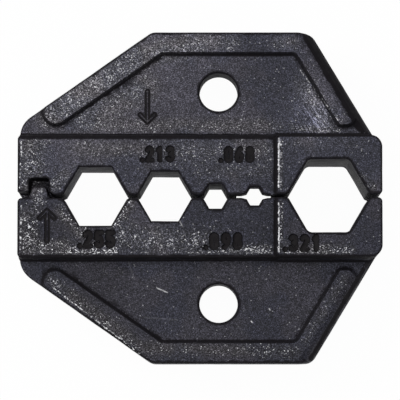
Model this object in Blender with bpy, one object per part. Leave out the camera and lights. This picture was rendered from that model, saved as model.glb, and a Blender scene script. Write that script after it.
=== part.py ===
"""Crimp die set: an upper and a lower die half that close on five hexagonal cavities."""

import math

import bmesh
import bpy
import numpy as np
from mathutils import Vector

# Overall sizes in metres, X along the parting line, Y in the closing direction, Z the thickness
DIE_WIDTH = 0.0424
DIE_HEIGHT = 0.0192
REST_GAP = 0.00036
WEB_THICKNESS = 0.0050
RIM_THICKNESS = 0.0063
JAW_THICKNESS = 0.0090
BLOCK_THICKNESS = 0.0116

# Plate outline
PLATE_INSET = 0.0002
LEFT_SLOPE = math.radians(35.0)
RIGHT_SLOPE = math.radians(59.0)
TOP_LEFT_X = -0.0056
TOP_RIGHT_X = 0.0131
TOP_LEFT_RADIUS = 0.0015
TOP_RIGHT_RADIUS = 0.0014
TOP_RIGHT_FRONT_RADIUS = 0.0007
SHOULDER_RADIUS = 0.0027
PLATE_FOOT = 0.0010

# Raised rim
RIM_LEFT_WIDTH = 0.00265
RIM_TOP_WIDTH = 0.00242
RIM_RIGHT_WIDTH = 0.0015
RIM_OUTER_ROUND = 0.0003
RIM_INNER_ROUND = 0.00012
RIM_ROOT = 0.00036
RIM_DRAFT = 0.0001
RIM_INNER_RADIUS = 0.0009
RIM_LEFT_LENGTH = 0.0146
RIM_END_OVERRUN = 0.00005
RIM_END_ROUND = 0.97
RIM_FOOT_CLEARANCE = 0.00135
RIM_FOOT_RADIUS = 0.0004
RIM_TOE_INSET = 0.0020
RIM_TOE_ANGLE = math.radians(62.0)
RIM_TOE_RADIUS = 0.0007
RIM_TOE_REACH = 0.0028

# Long slanted edge on the right, as depth below the rim and how far it stands back
SLANT_DEPTHS = (0.0, 0.00045, 0.0012, 0.0022)
SLANT_SETBACKS = (0.00135, 0.0008, 0.0003, 0.0)

# Jaw bar and the thicker block at its right end
JAW_HEIGHT = 0.00695
JAW_DRAFT = math.radians(5.0)
JAW_EDGE_ROUND = 0.00015
JAW_ROOT_RADIUS = 0.0003
JAW_CORNER_RADIUS = 0.0005
PARTING_BEVEL = 0.00012
BLOCK_START = 0.00878
BLOCK_SHOULDER_RADIUS = 0.00155
SHOULDER_FADE = 10
BLOCK_OVERLAP = 0.0009
BLOCK_RISE = 0.00005
JAW_SKIRT = 0.0005
BLOCK_SKIRT = 0.0008

# Cavities as centre, distance across flats, corner radius and mouth width, left to right
CAVITIES = (
    (-0.01214, 0.006477, 0.0, 0.0003),
    (-0.00405, 0.005410, 0.0, 0.0003),
    (0.00184, 0.002489, 0.0001, 0.0003),
    (0.00638, 0.001727, 0.0001, 0.0006),
    (0.01497, 0.008153, 0.0008, 0.0003),
)
MOUTH_HEIGHT = 0.00015
CAVITY_EDGE = 0.00015

# Relief behind the smallest cavity
RELIEF_CENTRE = 0.00635
RELIEF_WIDTH = 0.0041
RELIEF_DEPTH = 0.0022
RELIEF_RADIUS = 0.0005
LAND_LENGTH = 0.0026

# Screw hole
HOLE_DIAMETER = 0.0045
HOLE_X = 0.0022
HOLE_HEIGHT = 0.0122
HOLE_CHAMFER = 0.00015
HOLE_SEGMENTS = 72

# Locating key on the lower half and its blind socket in the upper half
KEY_CENTRE = -0.01870
KEY_TOP_WIDTH = 0.0016
KEY_BASE_WIDTH = 0.0022
KEY_HEIGHT = 0.0014
KEY_RADIUS = 0.0004
KEY_FOOT = 0.0006
KEY_FOOT_FLARE = 0.0002
KEY_LENGTH = 0.0040
KEY_FRONT_INSET = 0.00004
KEY_EDGE_ROUND = 0.00015
KEY_SIDE_CLEARANCE = 0.00012
KEY_TOP_CLEARANCE = 0.0006
KEY_BACK_CLEARANCE = 0.0004
SOCKET_RADIUS = 0.00045
SOCKET_FLARE = 0.0005
TOOTH_STEP = 0.0004

# Arc steps
ARC_STEP = math.radians(9.0)
ROUND_STEPS = 3
CORNER_STEPS = 5
CORNER_SWEEP = math.radians(80.0)
OVERCUT = 0.0010

HALF_WIDTH = DIE_WIDTH / 2
WEB = WEB_THICKNESS / 2
RIM = RIM_THICKNESS / 2
JAW = JAW_THICKNESS / 2
BLOCK = BLOCK_THICKNESS / 2
PLATE_LEFT = -HALF_WIDTH + PLATE_INSET
PLATE_RIGHT = HALF_WIDTH - PLATE_INSET
LEFT_NORMAL = Vector((-math.sin(LEFT_SLOPE), math.cos(LEFT_SLOPE)))
RIGHT_NORMAL = Vector((math.sin(RIGHT_SLOPE), math.cos(RIGHT_SLOPE)))
TOP_LEFT = Vector((TOP_LEFT_X, DIE_HEIGHT))
TOP_RIGHT = Vector((TOP_RIGHT_X, DIE_HEIGHT))


def meet(point_a, normal_a, point_b, normal_b):
    """Point where two lines cross, each given by a point and a normal."""
    a = normal_a.dot(point_a)
    b = normal_b.dot(point_b)
    span = normal_a.x * normal_b.y - normal_a.y * normal_b.x
    x = (a * normal_b.y - b * normal_a.y) / span
    y = (b * normal_a.x - a * normal_b.x) / span
    return Vector((x, y))


def rounded(corners):
    """Outline from (x, y, radius) corners, each arc cut into even steps."""
    points = []
    count = len(corners)
    for i, (x, y, radius) in enumerate(corners):
        here = Vector((x, y))
        if radius == 0:
            points.append(here)
            continue
        before = (Vector(corners[i - 1][:2]) - here).normalized()
        after = (Vector(corners[(i + 1) % count][:2]) - here).normalized()
        half = before.angle(after) / 2
        centre = here + (before + after).normalized() * radius / math.sin(half)
        start = here + before * radius / math.tan(half) - centre
        turn = math.pi - 2 * half
        if before.x * after.y - before.y * after.x > 0:
            turn = -turn
        steps = max(2, math.ceil(abs(turn) / ARC_STEP))
        for k in range(steps + 1):
            angle = turn * k / steps
            spoke_x = start.x * math.cos(angle) - start.y * math.sin(angle)
            spoke_y = start.x * math.sin(angle) + start.y * math.cos(angle)
            points.append(centre + Vector((spoke_x, spoke_y)))
    return points


def normals_of(outline):
    """Outward mitre direction and its stretch at each point of a counter-clockwise outline."""
    found = []
    count = len(outline)
    for i, point in enumerate(outline):
        into = (point - outline[i - 1]).normalized()
        out = (outline[(i + 1) % count] - point).normalized()
        mean = Vector((into.y + out.y, -into.x - out.x)).normalized()
        stretch = 1 / max(0.2, mean.dot(Vector((out.y, -out.x))))
        found.append((mean, stretch))
    return found


def skin(name, rings):
    """Closed body through a stack of rings that have the same number of points."""
    mesh = bpy.data.meshes.new(name)
    body = bmesh.new()
    loops = [[body.verts.new(point) for point in ring] for ring in rings]
    for low, high in zip(loops, loops[1:]):
        for i in range(len(low)):
            j = (i + 1) % len(low)
            body.faces.new((low[i], low[j], high[j], high[i]))
    body.faces.new(list(reversed(loops[0])))
    body.faces.new(loops[-1])
    bmesh.ops.triangulate(body, faces=body.faces[:], ngon_method='EAR_CLIP')
    bmesh.ops.recalc_face_normals(body, faces=body.faces[:])
    body.to_mesh(mesh)
    body.free()
    made = bpy.data.objects.new(name, mesh)
    bpy.context.collection.objects.link(made)
    return made


def loft(name, outline, levels):
    """Body along Z through copies of the outline, each moved by its level's shift."""
    normals = normals_of(outline)
    rings = []
    for z, shift in levels:
        ring = []
        for point, (normal, stretch) in zip(outline, normals):
            moved = point + shift(normal, stretch)
            ring.append((moved.x, moved.y, z))
        rings.append(ring)
    return skin(name, rings)


def even(size):
    """Shift that grows an outline by the same amount all round."""
    return lambda normal, stretch: normal * stretch * size


def combine(target, other, operation):
    """Applies one Boolean to target and removes the other body."""
    other.hide_render = True
    other.display_type = 'WIRE'
    boolean = target.modifiers.new("combine", 'BOOLEAN')
    boolean.operation = operation
    boolean.solver = 'MANIFOLD'
    boolean.object = other
    bpy.context.view_layer.update()
    result = bpy.data.meshes.new_from_object(target.evaluated_get(bpy.context.evaluated_depsgraph_get()))
    target.modifiers.clear()
    target.data = result
    bpy.data.objects.remove(other)


def rounding(radius):
    """(depth, setback) pairs down a quarter-round edge of the given radius."""
    pairs = []
    for k in range(ROUND_STEPS + 1):
        angle = math.pi / 2 * k / ROUND_STEPS
        pairs.append((radius * (1 - math.cos(angle)), radius * (1 - math.sin(angle))))
    return pairs


def mirrored(upper_levels):
    """Full stack of levels from the ones above the middle plane, top first."""
    below = [(-z, offset) for z, offset in upper_levels]
    return below + list(reversed(upper_levels))


def plate_outline(edge, slant):
    """Plate outline drawn in by edge all round and by slant more along the right slope."""
    up = Vector((0, 1))
    across = Vector((1, 0))
    top = Vector((0, DIE_HEIGHT - edge))
    left = TOP_LEFT - LEFT_NORMAL * edge
    right = TOP_RIGHT - RIGHT_NORMAL * (edge + slant)
    left_wall = meet(left, LEFT_NORMAL, Vector((PLATE_LEFT + edge, 0)), across)
    right_wall = meet(right, RIGHT_NORMAL, Vector((PLATE_RIGHT - edge, 0)), across)
    top_left = meet(left, LEFT_NORMAL, top, up)
    top_right = meet(right, RIGHT_NORMAL, top, up)
    share = slant / SLANT_SETBACKS[0]
    corner_radius = TOP_RIGHT_RADIUS + (TOP_RIGHT_FRONT_RADIUS - TOP_RIGHT_RADIUS) * share
    return rounded((
        (left_wall.x, PLATE_FOOT, 0),
        (right_wall.x, PLATE_FOOT, 0),
        (right_wall.x, right_wall.y, 0),
        (top_right.x, top_right.y, corner_radius),
        (top_left.x, top_left.y, TOP_LEFT_RADIUS),
        (left_wall.x, left_wall.y, SHOULDER_RADIUS),
    ))


def plate_blank():
    """Full thickness plate with rounded edges and the long slant down its right slope."""
    cuts = rounding(RIM_OUTER_ROUND)
    cuts += [(depth, 0) for depth in SLANT_DEPTHS[1:]]
    rings = []
    for depth, edge in cuts:
        slant = float(np.interp(depth, SLANT_DEPTHS, SLANT_SETBACKS))
        rings.append([(point.x, point.y, RIM - depth) for point in plate_outline(edge, slant)])
    back = [[(x, y, -z) for x, y, z in ring] for ring in rings]
    return skin("plate", back + list(reversed(rings)))


def web_recess(name):
    """Cutter that leaves the rim standing above the web, open below towards the jaw."""
    left_line = TOP_LEFT - LEFT_NORMAL * RIM_LEFT_WIDTH
    right_line = TOP_RIGHT - RIGHT_NORMAL * (RIM_RIGHT_WIDTH + SLANT_SETBACKS[0])
    top_line = Vector((0, DIE_HEIGHT - RIM_TOP_WIDTH))
    up = Vector((0, 1))
    foot_line = Vector((0, JAW_HEIGHT + RIM_FOOT_CLEARANCE))
    inner_left = meet(left_line, LEFT_NORMAL, top_line, up)
    inner_right = meet(top_line, up, right_line, RIGHT_NORMAL)
    foot = meet(right_line, RIGHT_NORMAL, foot_line, up)
    toe_x = meet(TOP_RIGHT, RIGHT_NORMAL, foot_line, up).x - RIM_TOE_INSET
    toe_slope = Vector((math.cos(RIM_TOE_ANGLE), math.sin(RIM_TOE_ANGLE)))
    toe_out = Vector((toe_x, foot_line.y)) + toe_slope * RIM_TOE_REACH
    down_left = Vector((-LEFT_NORMAL.y, LEFT_NORMAL.x))
    end_radius = (RIM_LEFT_WIDTH + RIM_END_OVERRUN) / 2
    end_far = down_left * (RIM_LEFT_LENGTH + end_radius)
    outer_line = TOP_LEFT + LEFT_NORMAL * RIM_END_OVERRUN
    end_inner = left_line + end_far
    end_outer = outer_line + end_far
    outer_back = outer_line + down_left * (RIM_LEFT_LENGTH - RIM_END_OVERRUN)
    exit_point = outer_back + LEFT_NORMAL * OVERCUT
    far = HALF_WIDTH + 2 * OVERCUT
    outline = rounded((
        (-far, -OVERCUT, 0),
        (far, -OVERCUT, 0),
        (far, toe_out.y, 0),
        (toe_out.x, toe_out.y, 0),
        (toe_x, foot_line.y, RIM_TOE_RADIUS),
        (foot.x, foot.y, RIM_FOOT_RADIUS),
        (inner_right.x, inner_right.y, RIM_INNER_RADIUS),
        (inner_left.x, inner_left.y, RIM_INNER_RADIUS),
        (end_inner.x, end_inner.y, end_radius * RIM_END_ROUND),
        (end_outer.x, end_outer.y, end_radius * RIM_END_ROUND),
        (outer_back.x, outer_back.y, 0),
        (exit_point.x, exit_point.y, 0),
        (-far, exit_point.y, 0),
    ))
    levels = [(RIM + OVERCUT, even(RIM_INNER_ROUND))]
    for depth, edge in rounding(RIM_INNER_ROUND)[:-1]:
        levels.append((RIM - depth, even(edge)))
    levels.append((WEB + RIM_ROOT, even(-RIM_DRAFT)))
    for k in range(1, ROUND_STEPS + 1):
        angle = math.pi / 2 * k / ROUND_STEPS
        inward = RIM_DRAFT + RIM_ROOT * (1 - math.cos(angle))
        levels.append((WEB + RIM_ROOT * (1 - math.sin(angle)), even(-inward)))
    return loft(name, outline, levels)


def wall_levels(top, floor, drafted):
    """Levels of a jaw body: round front edge, drafted wall and root fillet down to the floor."""
    slope = math.tan(JAW_DRAFT)

    def at(z, setback, flare):
        lean = slope * (JAW - z) + flare
        return lambda normal, stretch: drafted(normal) * lean - normal * stretch * setback

    levels = [(top - depth, at(top - depth, edge, 0)) for depth, edge in rounding(JAW_EDGE_ROUND)]
    levels.append((floor + JAW_ROOT_RADIUS, at(floor + JAW_ROOT_RADIUS, 0, 0)))
    for k in range(1, ROUND_STEPS + 1):
        angle = math.pi / 2 * k / ROUND_STEPS
        z = floor + JAW_ROOT_RADIUS * (1 - math.sin(angle))
        levels.append((z, at(z, 0, JAW_ROOT_RADIUS * (1 - math.cos(angle)))))
    return mirrored(levels)


def jaw_bar():
    """Thick bar along the parting line, with a skirt that the parting cut takes off."""
    right = BLOCK_START + BLOCK_OVERLAP
    outline = rounded((
        (-HALF_WIDTH, -JAW_SKIRT, 0),
        (right, -JAW_SKIRT, 0),
        (right, JAW_HEIGHT, 0),
        (-HALF_WIDTH, JAW_HEIGHT, JAW_CORNER_RADIUS),
    ))

    def drafted(normal):
        return Vector((0, max(0.0, normal.y)))

    return loft("jaw", outline, wall_levels(JAW, WEB, drafted))


def jaw_block():
    """Thicker block that carries the largest cavity."""
    top = JAW_HEIGHT + BLOCK_RISE
    outline = rounded((
        (BLOCK_START, -BLOCK_SKIRT, 0),
        (HALF_WIDTH, -BLOCK_SKIRT, 0),
        (HALF_WIDTH, top, BLOCK_SHOULDER_RADIUS),
        (BLOCK_START, top, JAW_CORNER_RADIUS),
    ))

    def drafted(normal):
        left = min(1.0, math.sqrt(2) * max(0.0, -normal.x))
        outer = min(1.0, math.sqrt(2) * max(0.0, normal.y))
        if normal.x > 0:
            outer = max(0.0, normal.y) ** SHOULDER_FADE
        return Vector((-left, outer))

    return loft("block", outline, wall_levels(BLOCK, WEB, drafted))


def parting_cut():
    """Cutter below the parting face, with round ends and a bevel along both outer edges."""
    radius = JAW_CORNER_RADIUS
    climb = math.tan(CORNER_SWEEP)
    ends = []
    for k in range(CORNER_STEPS + 1):
        angle = CORNER_SWEEP * k / CORNER_STEPS
        ends.append((radius * (1 - math.sin(angle)), radius * (1 - math.cos(angle))))
    ends.append((ends[-1][0] - OVERCUT, ends[-1][1] + OVERCUT * climb))
    bar_end = BLOCK_START - 2 * JAW_ROOT_RADIUS
    stations = [(-HALF_WIDTH + inset, rise, JAW) for inset, rise in reversed(ends)]
    stations += [(bar_end, 0, JAW), (bar_end + JAW_ROOT_RADIUS / 4, 0, BLOCK)]
    stations += [(HALF_WIDTH - inset, rise, BLOCK) for inset, rise in ends]
    reach = BLOCK + OVERCUT
    rings = []
    for x, rise, half in stations:
        flat = half - PARTING_BEVEL
        side = rise + reach - flat
        rings.append((
            (x, -2 * OVERCUT, -reach),
            (x, -2 * OVERCUT, reach),
            (x, side, reach),
            (x, rise, flat),
            (x, rise, -flat),
            (x, side, -reach),
        ))
    return skin("parting", rings)


def cavity(centre, across_flats, radius, mouth_width, half_thickness):
    """Half-hexagon cutter with a bevelled mouth and broken edges on both faces."""
    depth = across_flats / 2
    half_mouth = across_flats / math.sqrt(3)
    half_floor = half_mouth / 2
    half_lip = half_mouth - MOUTH_HEIGHT / math.sqrt(3)
    half_outer = half_lip + 2 * mouth_width
    outline = rounded((
        (centre - half_outer, -MOUTH_HEIGHT, 0),
        (centre + half_outer, -MOUTH_HEIGHT, 0),
        (centre + half_lip, MOUTH_HEIGHT, 0),
        (centre + half_floor, depth, radius),
        (centre - half_floor, depth, radius),
        (centre - half_lip, MOUTH_HEIGHT, 0),
    ))
    levels = [
        (half_thickness + OVERCUT, even(CAVITY_EDGE)),
        (half_thickness, even(CAVITY_EDGE)),
        (half_thickness - CAVITY_EDGE, even(0)),
    ]
    return loft("cavity", outline, mirrored(levels))


def relief():
    """Pocket behind the smallest cavity, open to the back face."""
    half = RELIEF_WIDTH / 2
    outline = rounded((
        (RELIEF_CENTRE - half, -OVERCUT, 0),
        (RELIEF_CENTRE + half, -OVERCUT, 0),
        (RELIEF_CENTRE + half, RELIEF_DEPTH, RELIEF_RADIUS),
        (RELIEF_CENTRE - half, RELIEF_DEPTH, RELIEF_RADIUS),
    ))
    return loft("relief", outline, [(-JAW - OVERCUT, even(0)), (JAW - LAND_LENGTH, even(0))])


def screw_hole():
    """Through hole with a small chamfer on each face of the web."""
    outline = []
    for k in range(HOLE_SEGMENTS):
        angle = 2 * math.pi * k / HOLE_SEGMENTS
        spoke = Vector((math.cos(angle), math.sin(angle))) * HOLE_DIAMETER / 2
        outline.append(Vector((HOLE_X, HOLE_HEIGHT)) + spoke)
    levels = [
        (WEB + OVERCUT, even(HOLE_CHAMFER)),
        (WEB, even(HOLE_CHAMFER)),
        (WEB - HOLE_CHAMFER, even(0)),
    ]
    return loft("hole", outline, mirrored(levels))


def key():
    """Locating key, drawn pointing away from the lower half's parting face."""
    top = KEY_TOP_WIDTH / 2
    base = KEY_BASE_WIDTH / 2
    outline = rounded((
        (KEY_CENTRE - base - KEY_FOOT_FLARE, KEY_FOOT, 0),
        (KEY_CENTRE - base - KEY_FOOT_FLARE, -KEY_FOOT_FLARE / 4, 0),
        (KEY_CENTRE - base, -KEY_FOOT_FLARE, 0),
        (KEY_CENTRE - top, -KEY_HEIGHT, KEY_RADIUS),
        (KEY_CENTRE + top, -KEY_HEIGHT, KEY_RADIUS),
        (KEY_CENTRE + base, -KEY_FOOT_FLARE, 0),
        (KEY_CENTRE + base + KEY_FOOT_FLARE, -KEY_FOOT_FLARE / 4, 0),
        (KEY_CENTRE + base + KEY_FOOT_FLARE, KEY_FOOT, 0),
    ))
    front = JAW - KEY_FRONT_INSET
    levels = [(front - depth, even(-edge)) for depth, edge in rounding(KEY_EDGE_ROUND)]
    levels.append((front - KEY_LENGTH, even(0)))
    return loft("key", outline, list(reversed(levels)))


def socket():
    """Blind pocket that takes the key, with the outer tooth cut a step shorter."""
    half = KEY_BASE_WIDTH / 2 + KEY_SIDE_CLEARANCE
    left = KEY_CENTRE - half
    right = KEY_CENTRE + half
    top = KEY_HEIGHT + KEY_TOP_CLEARANCE
    outside = -HALF_WIDTH - OVERCUT
    outline = rounded((
        (outside, -OVERCUT, 0),
        (right + SOCKET_FLARE + OVERCUT, -OVERCUT, 0),
        (right, SOCKET_FLARE, 0),
        (right, top, SOCKET_RADIUS),
        (left, top, SOCKET_RADIUS),
        (left, TOOTH_STEP, 0),
        (outside, TOOTH_STEP, 0),
    ))
    floor = JAW - KEY_FRONT_INSET - KEY_LENGTH - KEY_BACK_CLEARANCE
    return loft("socket", outline, [(floor, even(0)), (JAW + OVERCUT, even(0))])


def steel(name):
    """Blackened tool steel."""
    material = bpy.data.materials.new(name)
    material.use_nodes = True
    shader = material.node_tree.nodes["Principled BSDF"]
    shader.inputs["Base Color"].default_value = (0.045, 0.045, 0.052, 1)
    shader.inputs["Metallic"].default_value = 0.85
    shader.inputs["Roughness"].default_value = 0.5
    return material


def die_half():
    """One die half without key or socket, parting face on Y = 0 and body towards +Y."""
    body = plate_blank()
    front_recess = web_recess("front_recess")
    back_recess = web_recess("back_recess")
    back_recess.data.transform(((1, 0, 0, 0), (0, 1, 0, 0), (0, 0, -1, 0), (0, 0, 0, 1)))
    back_recess.data.flip_normals()
    combine(body, front_recess, 'DIFFERENCE')
    combine(body, back_recess, 'DIFFERENCE')
    combine(body, jaw_bar(), 'UNION')
    combine(body, jaw_block(), 'UNION')
    combine(body, parting_cut(), 'DIFFERENCE')
    for centre, across_flats, radius, mouth_width in CAVITIES:
        half_thickness = BLOCK if centre > BLOCK_START else JAW
        combine(body, cavity(centre, across_flats, radius, mouth_width, half_thickness), 'DIFFERENCE')
    combine(body, relief(), 'DIFFERENCE')
    combine(body, screw_hole(), 'DIFFERENCE')
    return body


def finish(body, name, side):
    """Cleans the mesh, turns it to its side of the parting line and places it."""
    clean = bmesh.new()
    clean.from_mesh(body.data)
    bmesh.ops.triangulate(clean, faces=clean.faces[:])
    for vert in clean.verts:
        vert.co.y *= side
    bmesh.ops.recalc_face_normals(clean, faces=clean.faces[:])
    clean.to_mesh(body.data)
    clean.free()
    body.name = name
    body.data.name = name
    body.location = (0, side * REST_GAP / 2, BLOCK)
    body.data.materials.clear()
    body.data.materials.append(steel(name + "_steel"))
    body.data.shade_smooth()
    body.data.set_sharp_from_angle(angle=math.radians(24.0))
    return body


def main():
    """Builds both halves."""
    for old in list(bpy.data.objects):
        bpy.data.objects.remove(old)
    lower = die_half()
    combine(lower, key(), 'UNION')
    finish(lower, "lower_die", -1)
    upper = die_half()
    combine(upper, socket(), 'DIFFERENCE')
    finish(upper, "upper_die", 1)


main()
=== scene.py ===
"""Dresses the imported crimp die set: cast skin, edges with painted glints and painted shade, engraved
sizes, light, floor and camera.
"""
import math

import bpy
import numpy as np
from mathutils import Matrix, Vector
from mathutils.geometry import delaunay_2d_cdt
from mathutils.kdtree import KDTree


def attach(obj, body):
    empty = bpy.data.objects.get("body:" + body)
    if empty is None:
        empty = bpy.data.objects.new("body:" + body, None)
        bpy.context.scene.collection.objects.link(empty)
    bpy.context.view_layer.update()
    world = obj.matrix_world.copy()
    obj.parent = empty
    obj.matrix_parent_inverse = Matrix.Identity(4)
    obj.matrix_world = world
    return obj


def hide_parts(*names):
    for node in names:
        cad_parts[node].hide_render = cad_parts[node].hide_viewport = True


MM = 0.001

# Colours of the blackened skin, and how strongly the dark map of painted shade and the engraved map cover
# it; BLACK is that painted shade and also the colour of dark scratches, FLECK_COLOUR the specks of wear and
# painted sparkle
# The lower half's base is darker than the upper's: painted shade for the light falling off towards the
# bottom
LOWER_SHADED_BASE = (0.0243, 0.0234, 0.0305)
UPPER_BASE = (0.0322, 0.0310, 0.0398)
BLACK = (0.0080, 0.0068, 0.0086, 1)
ENGRAVED_BLACK = (0.0042, 0.0030, 0.0040, 1)
FLECK_COLOUR = (0.90, 0.90, 0.93, 1)
GLINT_COLOUR = (0.80, 0.80, 0.82, 1)
WHITE = (1, 1, 1, 1)
CLOUD_TINT = (0.93, 0.98, 1.06)
WORN_TINT = (1.06, 1.04, 0.91)
SHADE_STRENGTH = 0.97
ENGRAVED_STRENGTH = 0.98

# Noises of the skin as size, detail and roughness, and their contrasts in powers of two
GRAIN = (0.115 * MM, 1.5, 0.6)
GRAIN_CONTRAST = 6.0
BLOTCH = (1.2 * MM, 4.0, 0.6)
BLOTCH_CONTRAST = 1.8
CLOUD = (7.0 * MM, 2.0, 0.5)
CLOUD_CONTRAST = 1.4
UNEVEN = (0.33 * MM, 3.0, 0.75)
PITS = (0.4 * MM, 3.0, 0.6)
NOISE_MIDDLE = 0.5
SPECKLE_SIZE = 0.090 * MM
SPECKLE_CONTRAST = 3.2
FLECK_SIZE = 0.105 * MM

# Ramps of the skin's layers as low, high and, where they aren't 0 and 1, the values there
GRAIN_WHERE_RUBBED = (0.0, 1.0, 0.85, 1.45)
CLOUD_RAMP = (0.54, 0.44)
WORN_RAMP = (0.0, 0.6)
FLECK_BOUND = (0.0, 1.0, 0.995, 0.925)
FLECK_PATCHES = (0.38, 0.62, 0.25, 1.0)
FLECK_SHARE = (0.0, 1.0, 0.35, 0.85)
HAIR_PATCHES = (0.42, 0.60)
HAIR_SHARE = (0.35, 1.0, 0.0, 0.75)
GLINT_RAMP = (0.50, 0.62)
GLINT_PATCHES = (0.38, 0.52, 0.40, 1.0)
SCRATCH_RAMP = (0.35, 0.55, 0.3, 1.0)

# Shine and relief of the skin
METALLIC = 0.30
SPECULAR = 0.20
ROUGHNESS = (0.3, 0.7, 0.52, 0.68)
SHADE_ROUGHNESS = 0.30
GRAIN_RELIEF = 0.35
BUMP_STRENGTH = 0.5
BUMP_DISTANCE = 0.05 * MM

# Halves as node, seed, material slot and base colour
HALVES = (("lower_die", 11, "lower_steel", LOWER_SHADED_BASE), ("upper_die", 29, "upper_steel", UPPER_BASE))

# Floor, just under the die set so that the faces don't touch
FLOOR_SIZE = 6.0
FLOOR_HEIGHT = -0.02 * MM
FLOOR_GREY = (0.85, 0.85, 0.85, 1)
FLOOR_GLOW = 0.97

# Plain light, at which a grey of 0.18 renders as 0.18 to 0.19: lamps as name, place, size and power
WORLD_LIGHT = 0.42
LAMPS = (
    ("key", (-0.30, 0.16, 0.34), 0.22, 1.07),
    ("top", (0.02, 0.0, 0.60), 0.30, 1.11),
)

# Camera, matched to the photograph
LENS = 290.25
SENSOR = 36.0
CAMERA_DISTANCE = 0.375
CAMERA_PITCH = math.radians(4.08)
CAMERA_YAW = math.radians(0.2665)
CAMERA_TARGET = Vector((0.00004, -0.00043, 0.0103))
CAMERA_RANGE = (0.01, 20.0)

# Front faces that carry marks: web, jaw and block, and how near and how level a region or a point must be
MARK_PLANES = (8.3 * MM, 10.3 * MM, 11.6 * MM)
REGION_TOLERANCE = 0.01 * MM
REGION_FACING = 0.9
POINT_TOLERANCE = 0.002 * MM
POINT_FACING = 0.7

# Fine mesh: sizes are edge lengths, growing away from edges, marks and painted lines
FLAT_ANGLE = math.radians(0.5)
FEATURE_ANGLE = math.radians(20.0)
SHARP_ANGLE = math.radians(28.0)
UPRIGHT_EDGE = 0.8
SMALLEST_REGION = 0.02 * MM * MM
SAMPLE_STEP = 0.05 * MM
BORDER_STEP = 0.16 * MM
PLAIN_BORDER_STEP = 0.40 * MM
FRONT_SLOPE = 0.3
EDGE_SIZE = 0.101 * MM
PLAIN_EDGE_SIZE = 0.41 * MM
EDGE_BAND = 0.12 * MM
MARK_SIZE = 0.051 * MM
LINE_SIZE = 0.101 * MM
LINE_BAND = 0.14 * MM
SIZE_GROWTH = 0.8
COARSEST_SIZE = 0.8 * MM
BORDER_GAP = 0.45
WELD = 0.0005 * MM
SLIVER_SHARE = 1e-4

# Reach of the painted shade beside inner edges, where shade falls in the creases, and along outer edges
ROOT_REACH = 0.17 * MM
RIM_FROM = 7.6 * MM
RIM_ROOT_SHARE = 0.50
JAW_ROOT_SHARE = 0.60
RIGHT_RIM_FROM = 10.3 * MM
RIGHT_RIM_ROOT_SHARE = 0.25
EDGE_REACH = 0.14 * MM
STEP_HEIGHT = 0.95 * MM
STEP_EDGE_SHARE = 0.25
EDGE_SHADE = 0.9
REACH_CHANGE = 0.50
REACH_CHANGE_SIZE = 0.6 * MM
SHADE_FADE = 0.05 * MM

# Unevenness of the cast skin
SWELL_SIZE = 2.6 * MM
SWELL_HEIGHT = 0.018 * MM
RIPPLE_SIZE = 0.7 * MM
RIPPLE_HEIGHT = 0.008 * MM

# Multipliers that mix a lattice corner and a seed into a random number
CORNER_MIX = (73856093, 19349663, 83492791)
SEED_MIX = 2654435761
LAST_MIX = 1274126177

# Engraved sizes as text, middle x, middle y, height and digit pitch, in mm
JAW_SIZES = (
    (".213", -4.93, 4.93, 1.98, 1.20),
    (".068", 4.29, 4.88, 1.98, 1.25),
    (".255", -12.02, -5.00, 2.20, 1.31),
    (".098", 2.71, -5.23, 2.08, 1.37),
    (".321", 11.85, -5.51, 2.08, 1.33),
)
STROKE_SHARE = 0.285
ENGRAVE_DEPTH = 0.30 * MM
ENGRAVE_WALL = 0.10 * MM
DIGIT_WIDTH = 0.40

# Shift of the first digit and of the point, as shares of the pitch
FIRST_SHIFT = 0.25
POINT_SHIFT = 0.30

# Engraved arrows to the parting line as middle x, y, half length and direction, in mm
ARROWS = ((-6.12, 10.67, 1.80, -1), (-17.72, -3.43, 1.75, 1))
ARROW_BARB = 0.85
ARROW_STROKE = 0.64
ARROW_RIDGE = 0.12
ARROW_DEPTH = 0.14 * MM
RIDGE_SHARE = 0.8
RIDGE_START = 0.7

# Foot of the key, where the face runs on without a band of painted shade: x, y and radius, in mm
KEY_FOOT = (-18.70, -0.35, 1.0)
KEY_FOOT_FACING = 0.5
KEY_FOOT_SHARE = 0.25

# Painted shade on sloping walls, and its share on upright ones and on those listed: x, y to x, y, radius,
# share
WALL_SHADE = 0.8
STEEP_FROM = 0.97
STEEP_SPAN = 0.22
UPRIGHT = 0.2
UPRIGHT_SHARE = 0.5
OTHER_WALLS = (
    (12.9, -18.48, 18.7, -8.48, 0.75, 0.15),
    (1.84, 12.3, 1.84, 12.3, 2.6, 1.7),
    (-18.7, 1.3, -18.7, 1.3, 1.6, 2.0),
)

# Bands of painted shade, beside the jaw steps and on the right-hand slopes, as x, y, x, y and half width,
# in mm
SHADE_BANDS = (
    (-20.7, 6.90, 8.9, 6.87, 0.23),
    (8.9, 6.95, 20.2, 6.95, 0.16),
    (-20.7, -7.00, 20.2, -7.03, 0.20),
    (8.76, 6.9, 8.76, 0.5, 0.20),
    (8.76, -0.5, 8.76, -6.9, 0.20),
    (12.75, 18.75, 18.9, 8.3, 0.62),
    (12.95, -18.87, 19.10, -8.42, 0.28),
)
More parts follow.
